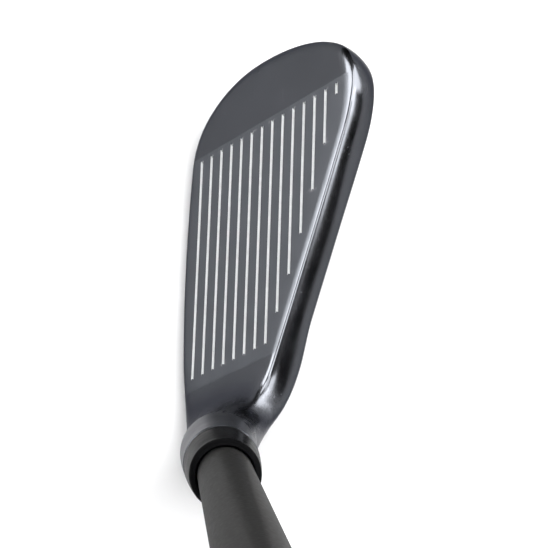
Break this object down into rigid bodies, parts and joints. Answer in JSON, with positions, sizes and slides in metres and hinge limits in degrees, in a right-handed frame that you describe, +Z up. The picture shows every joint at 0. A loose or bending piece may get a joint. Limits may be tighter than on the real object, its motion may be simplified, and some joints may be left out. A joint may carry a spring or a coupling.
{
  "type": "golf club iron",
  "caption": "Right-handed golf iron standing at address: dark metal blade with straight score lines, round hosel, ferrule, tapered shaft and rubber grip.",
  "frame": {"origin": "the middle of the hand hold, on the shaft's axis inside the grip, 115 mm below the butt end", "axes": "+Z up with the sole set flat as at address; -Y towards the target, so the face looks to -Y and leans back to +Y; -X towards the toe, and the shaft rises towards +X"},
  "size_m": [0.5061, 0.0413, 0.8455],
  "materials": {
    "head": "glossy black nickel, blasted between the score lines",
    "adhesive": "cured epoxy",
    "ferrule": "polished black",
    "shaft": "satin dark grey lacquer on carbon fibre",
    "plug": "plain moulded",
    "tape": "plain",
    "grip": "matt moulded, textured",
    "cap": "matt moulded"
  },
  "bodies": {
    "root": {"club_head": "head", "hosel_adhesive": "adhesive", "ferrule": "ferrule", "shaft": "shaft", "tip_plug": "plug", "grip_tape": "tape", "grip_sleeve": "grip", "grip_cap": "cap"}
  },
  "joints": []
}
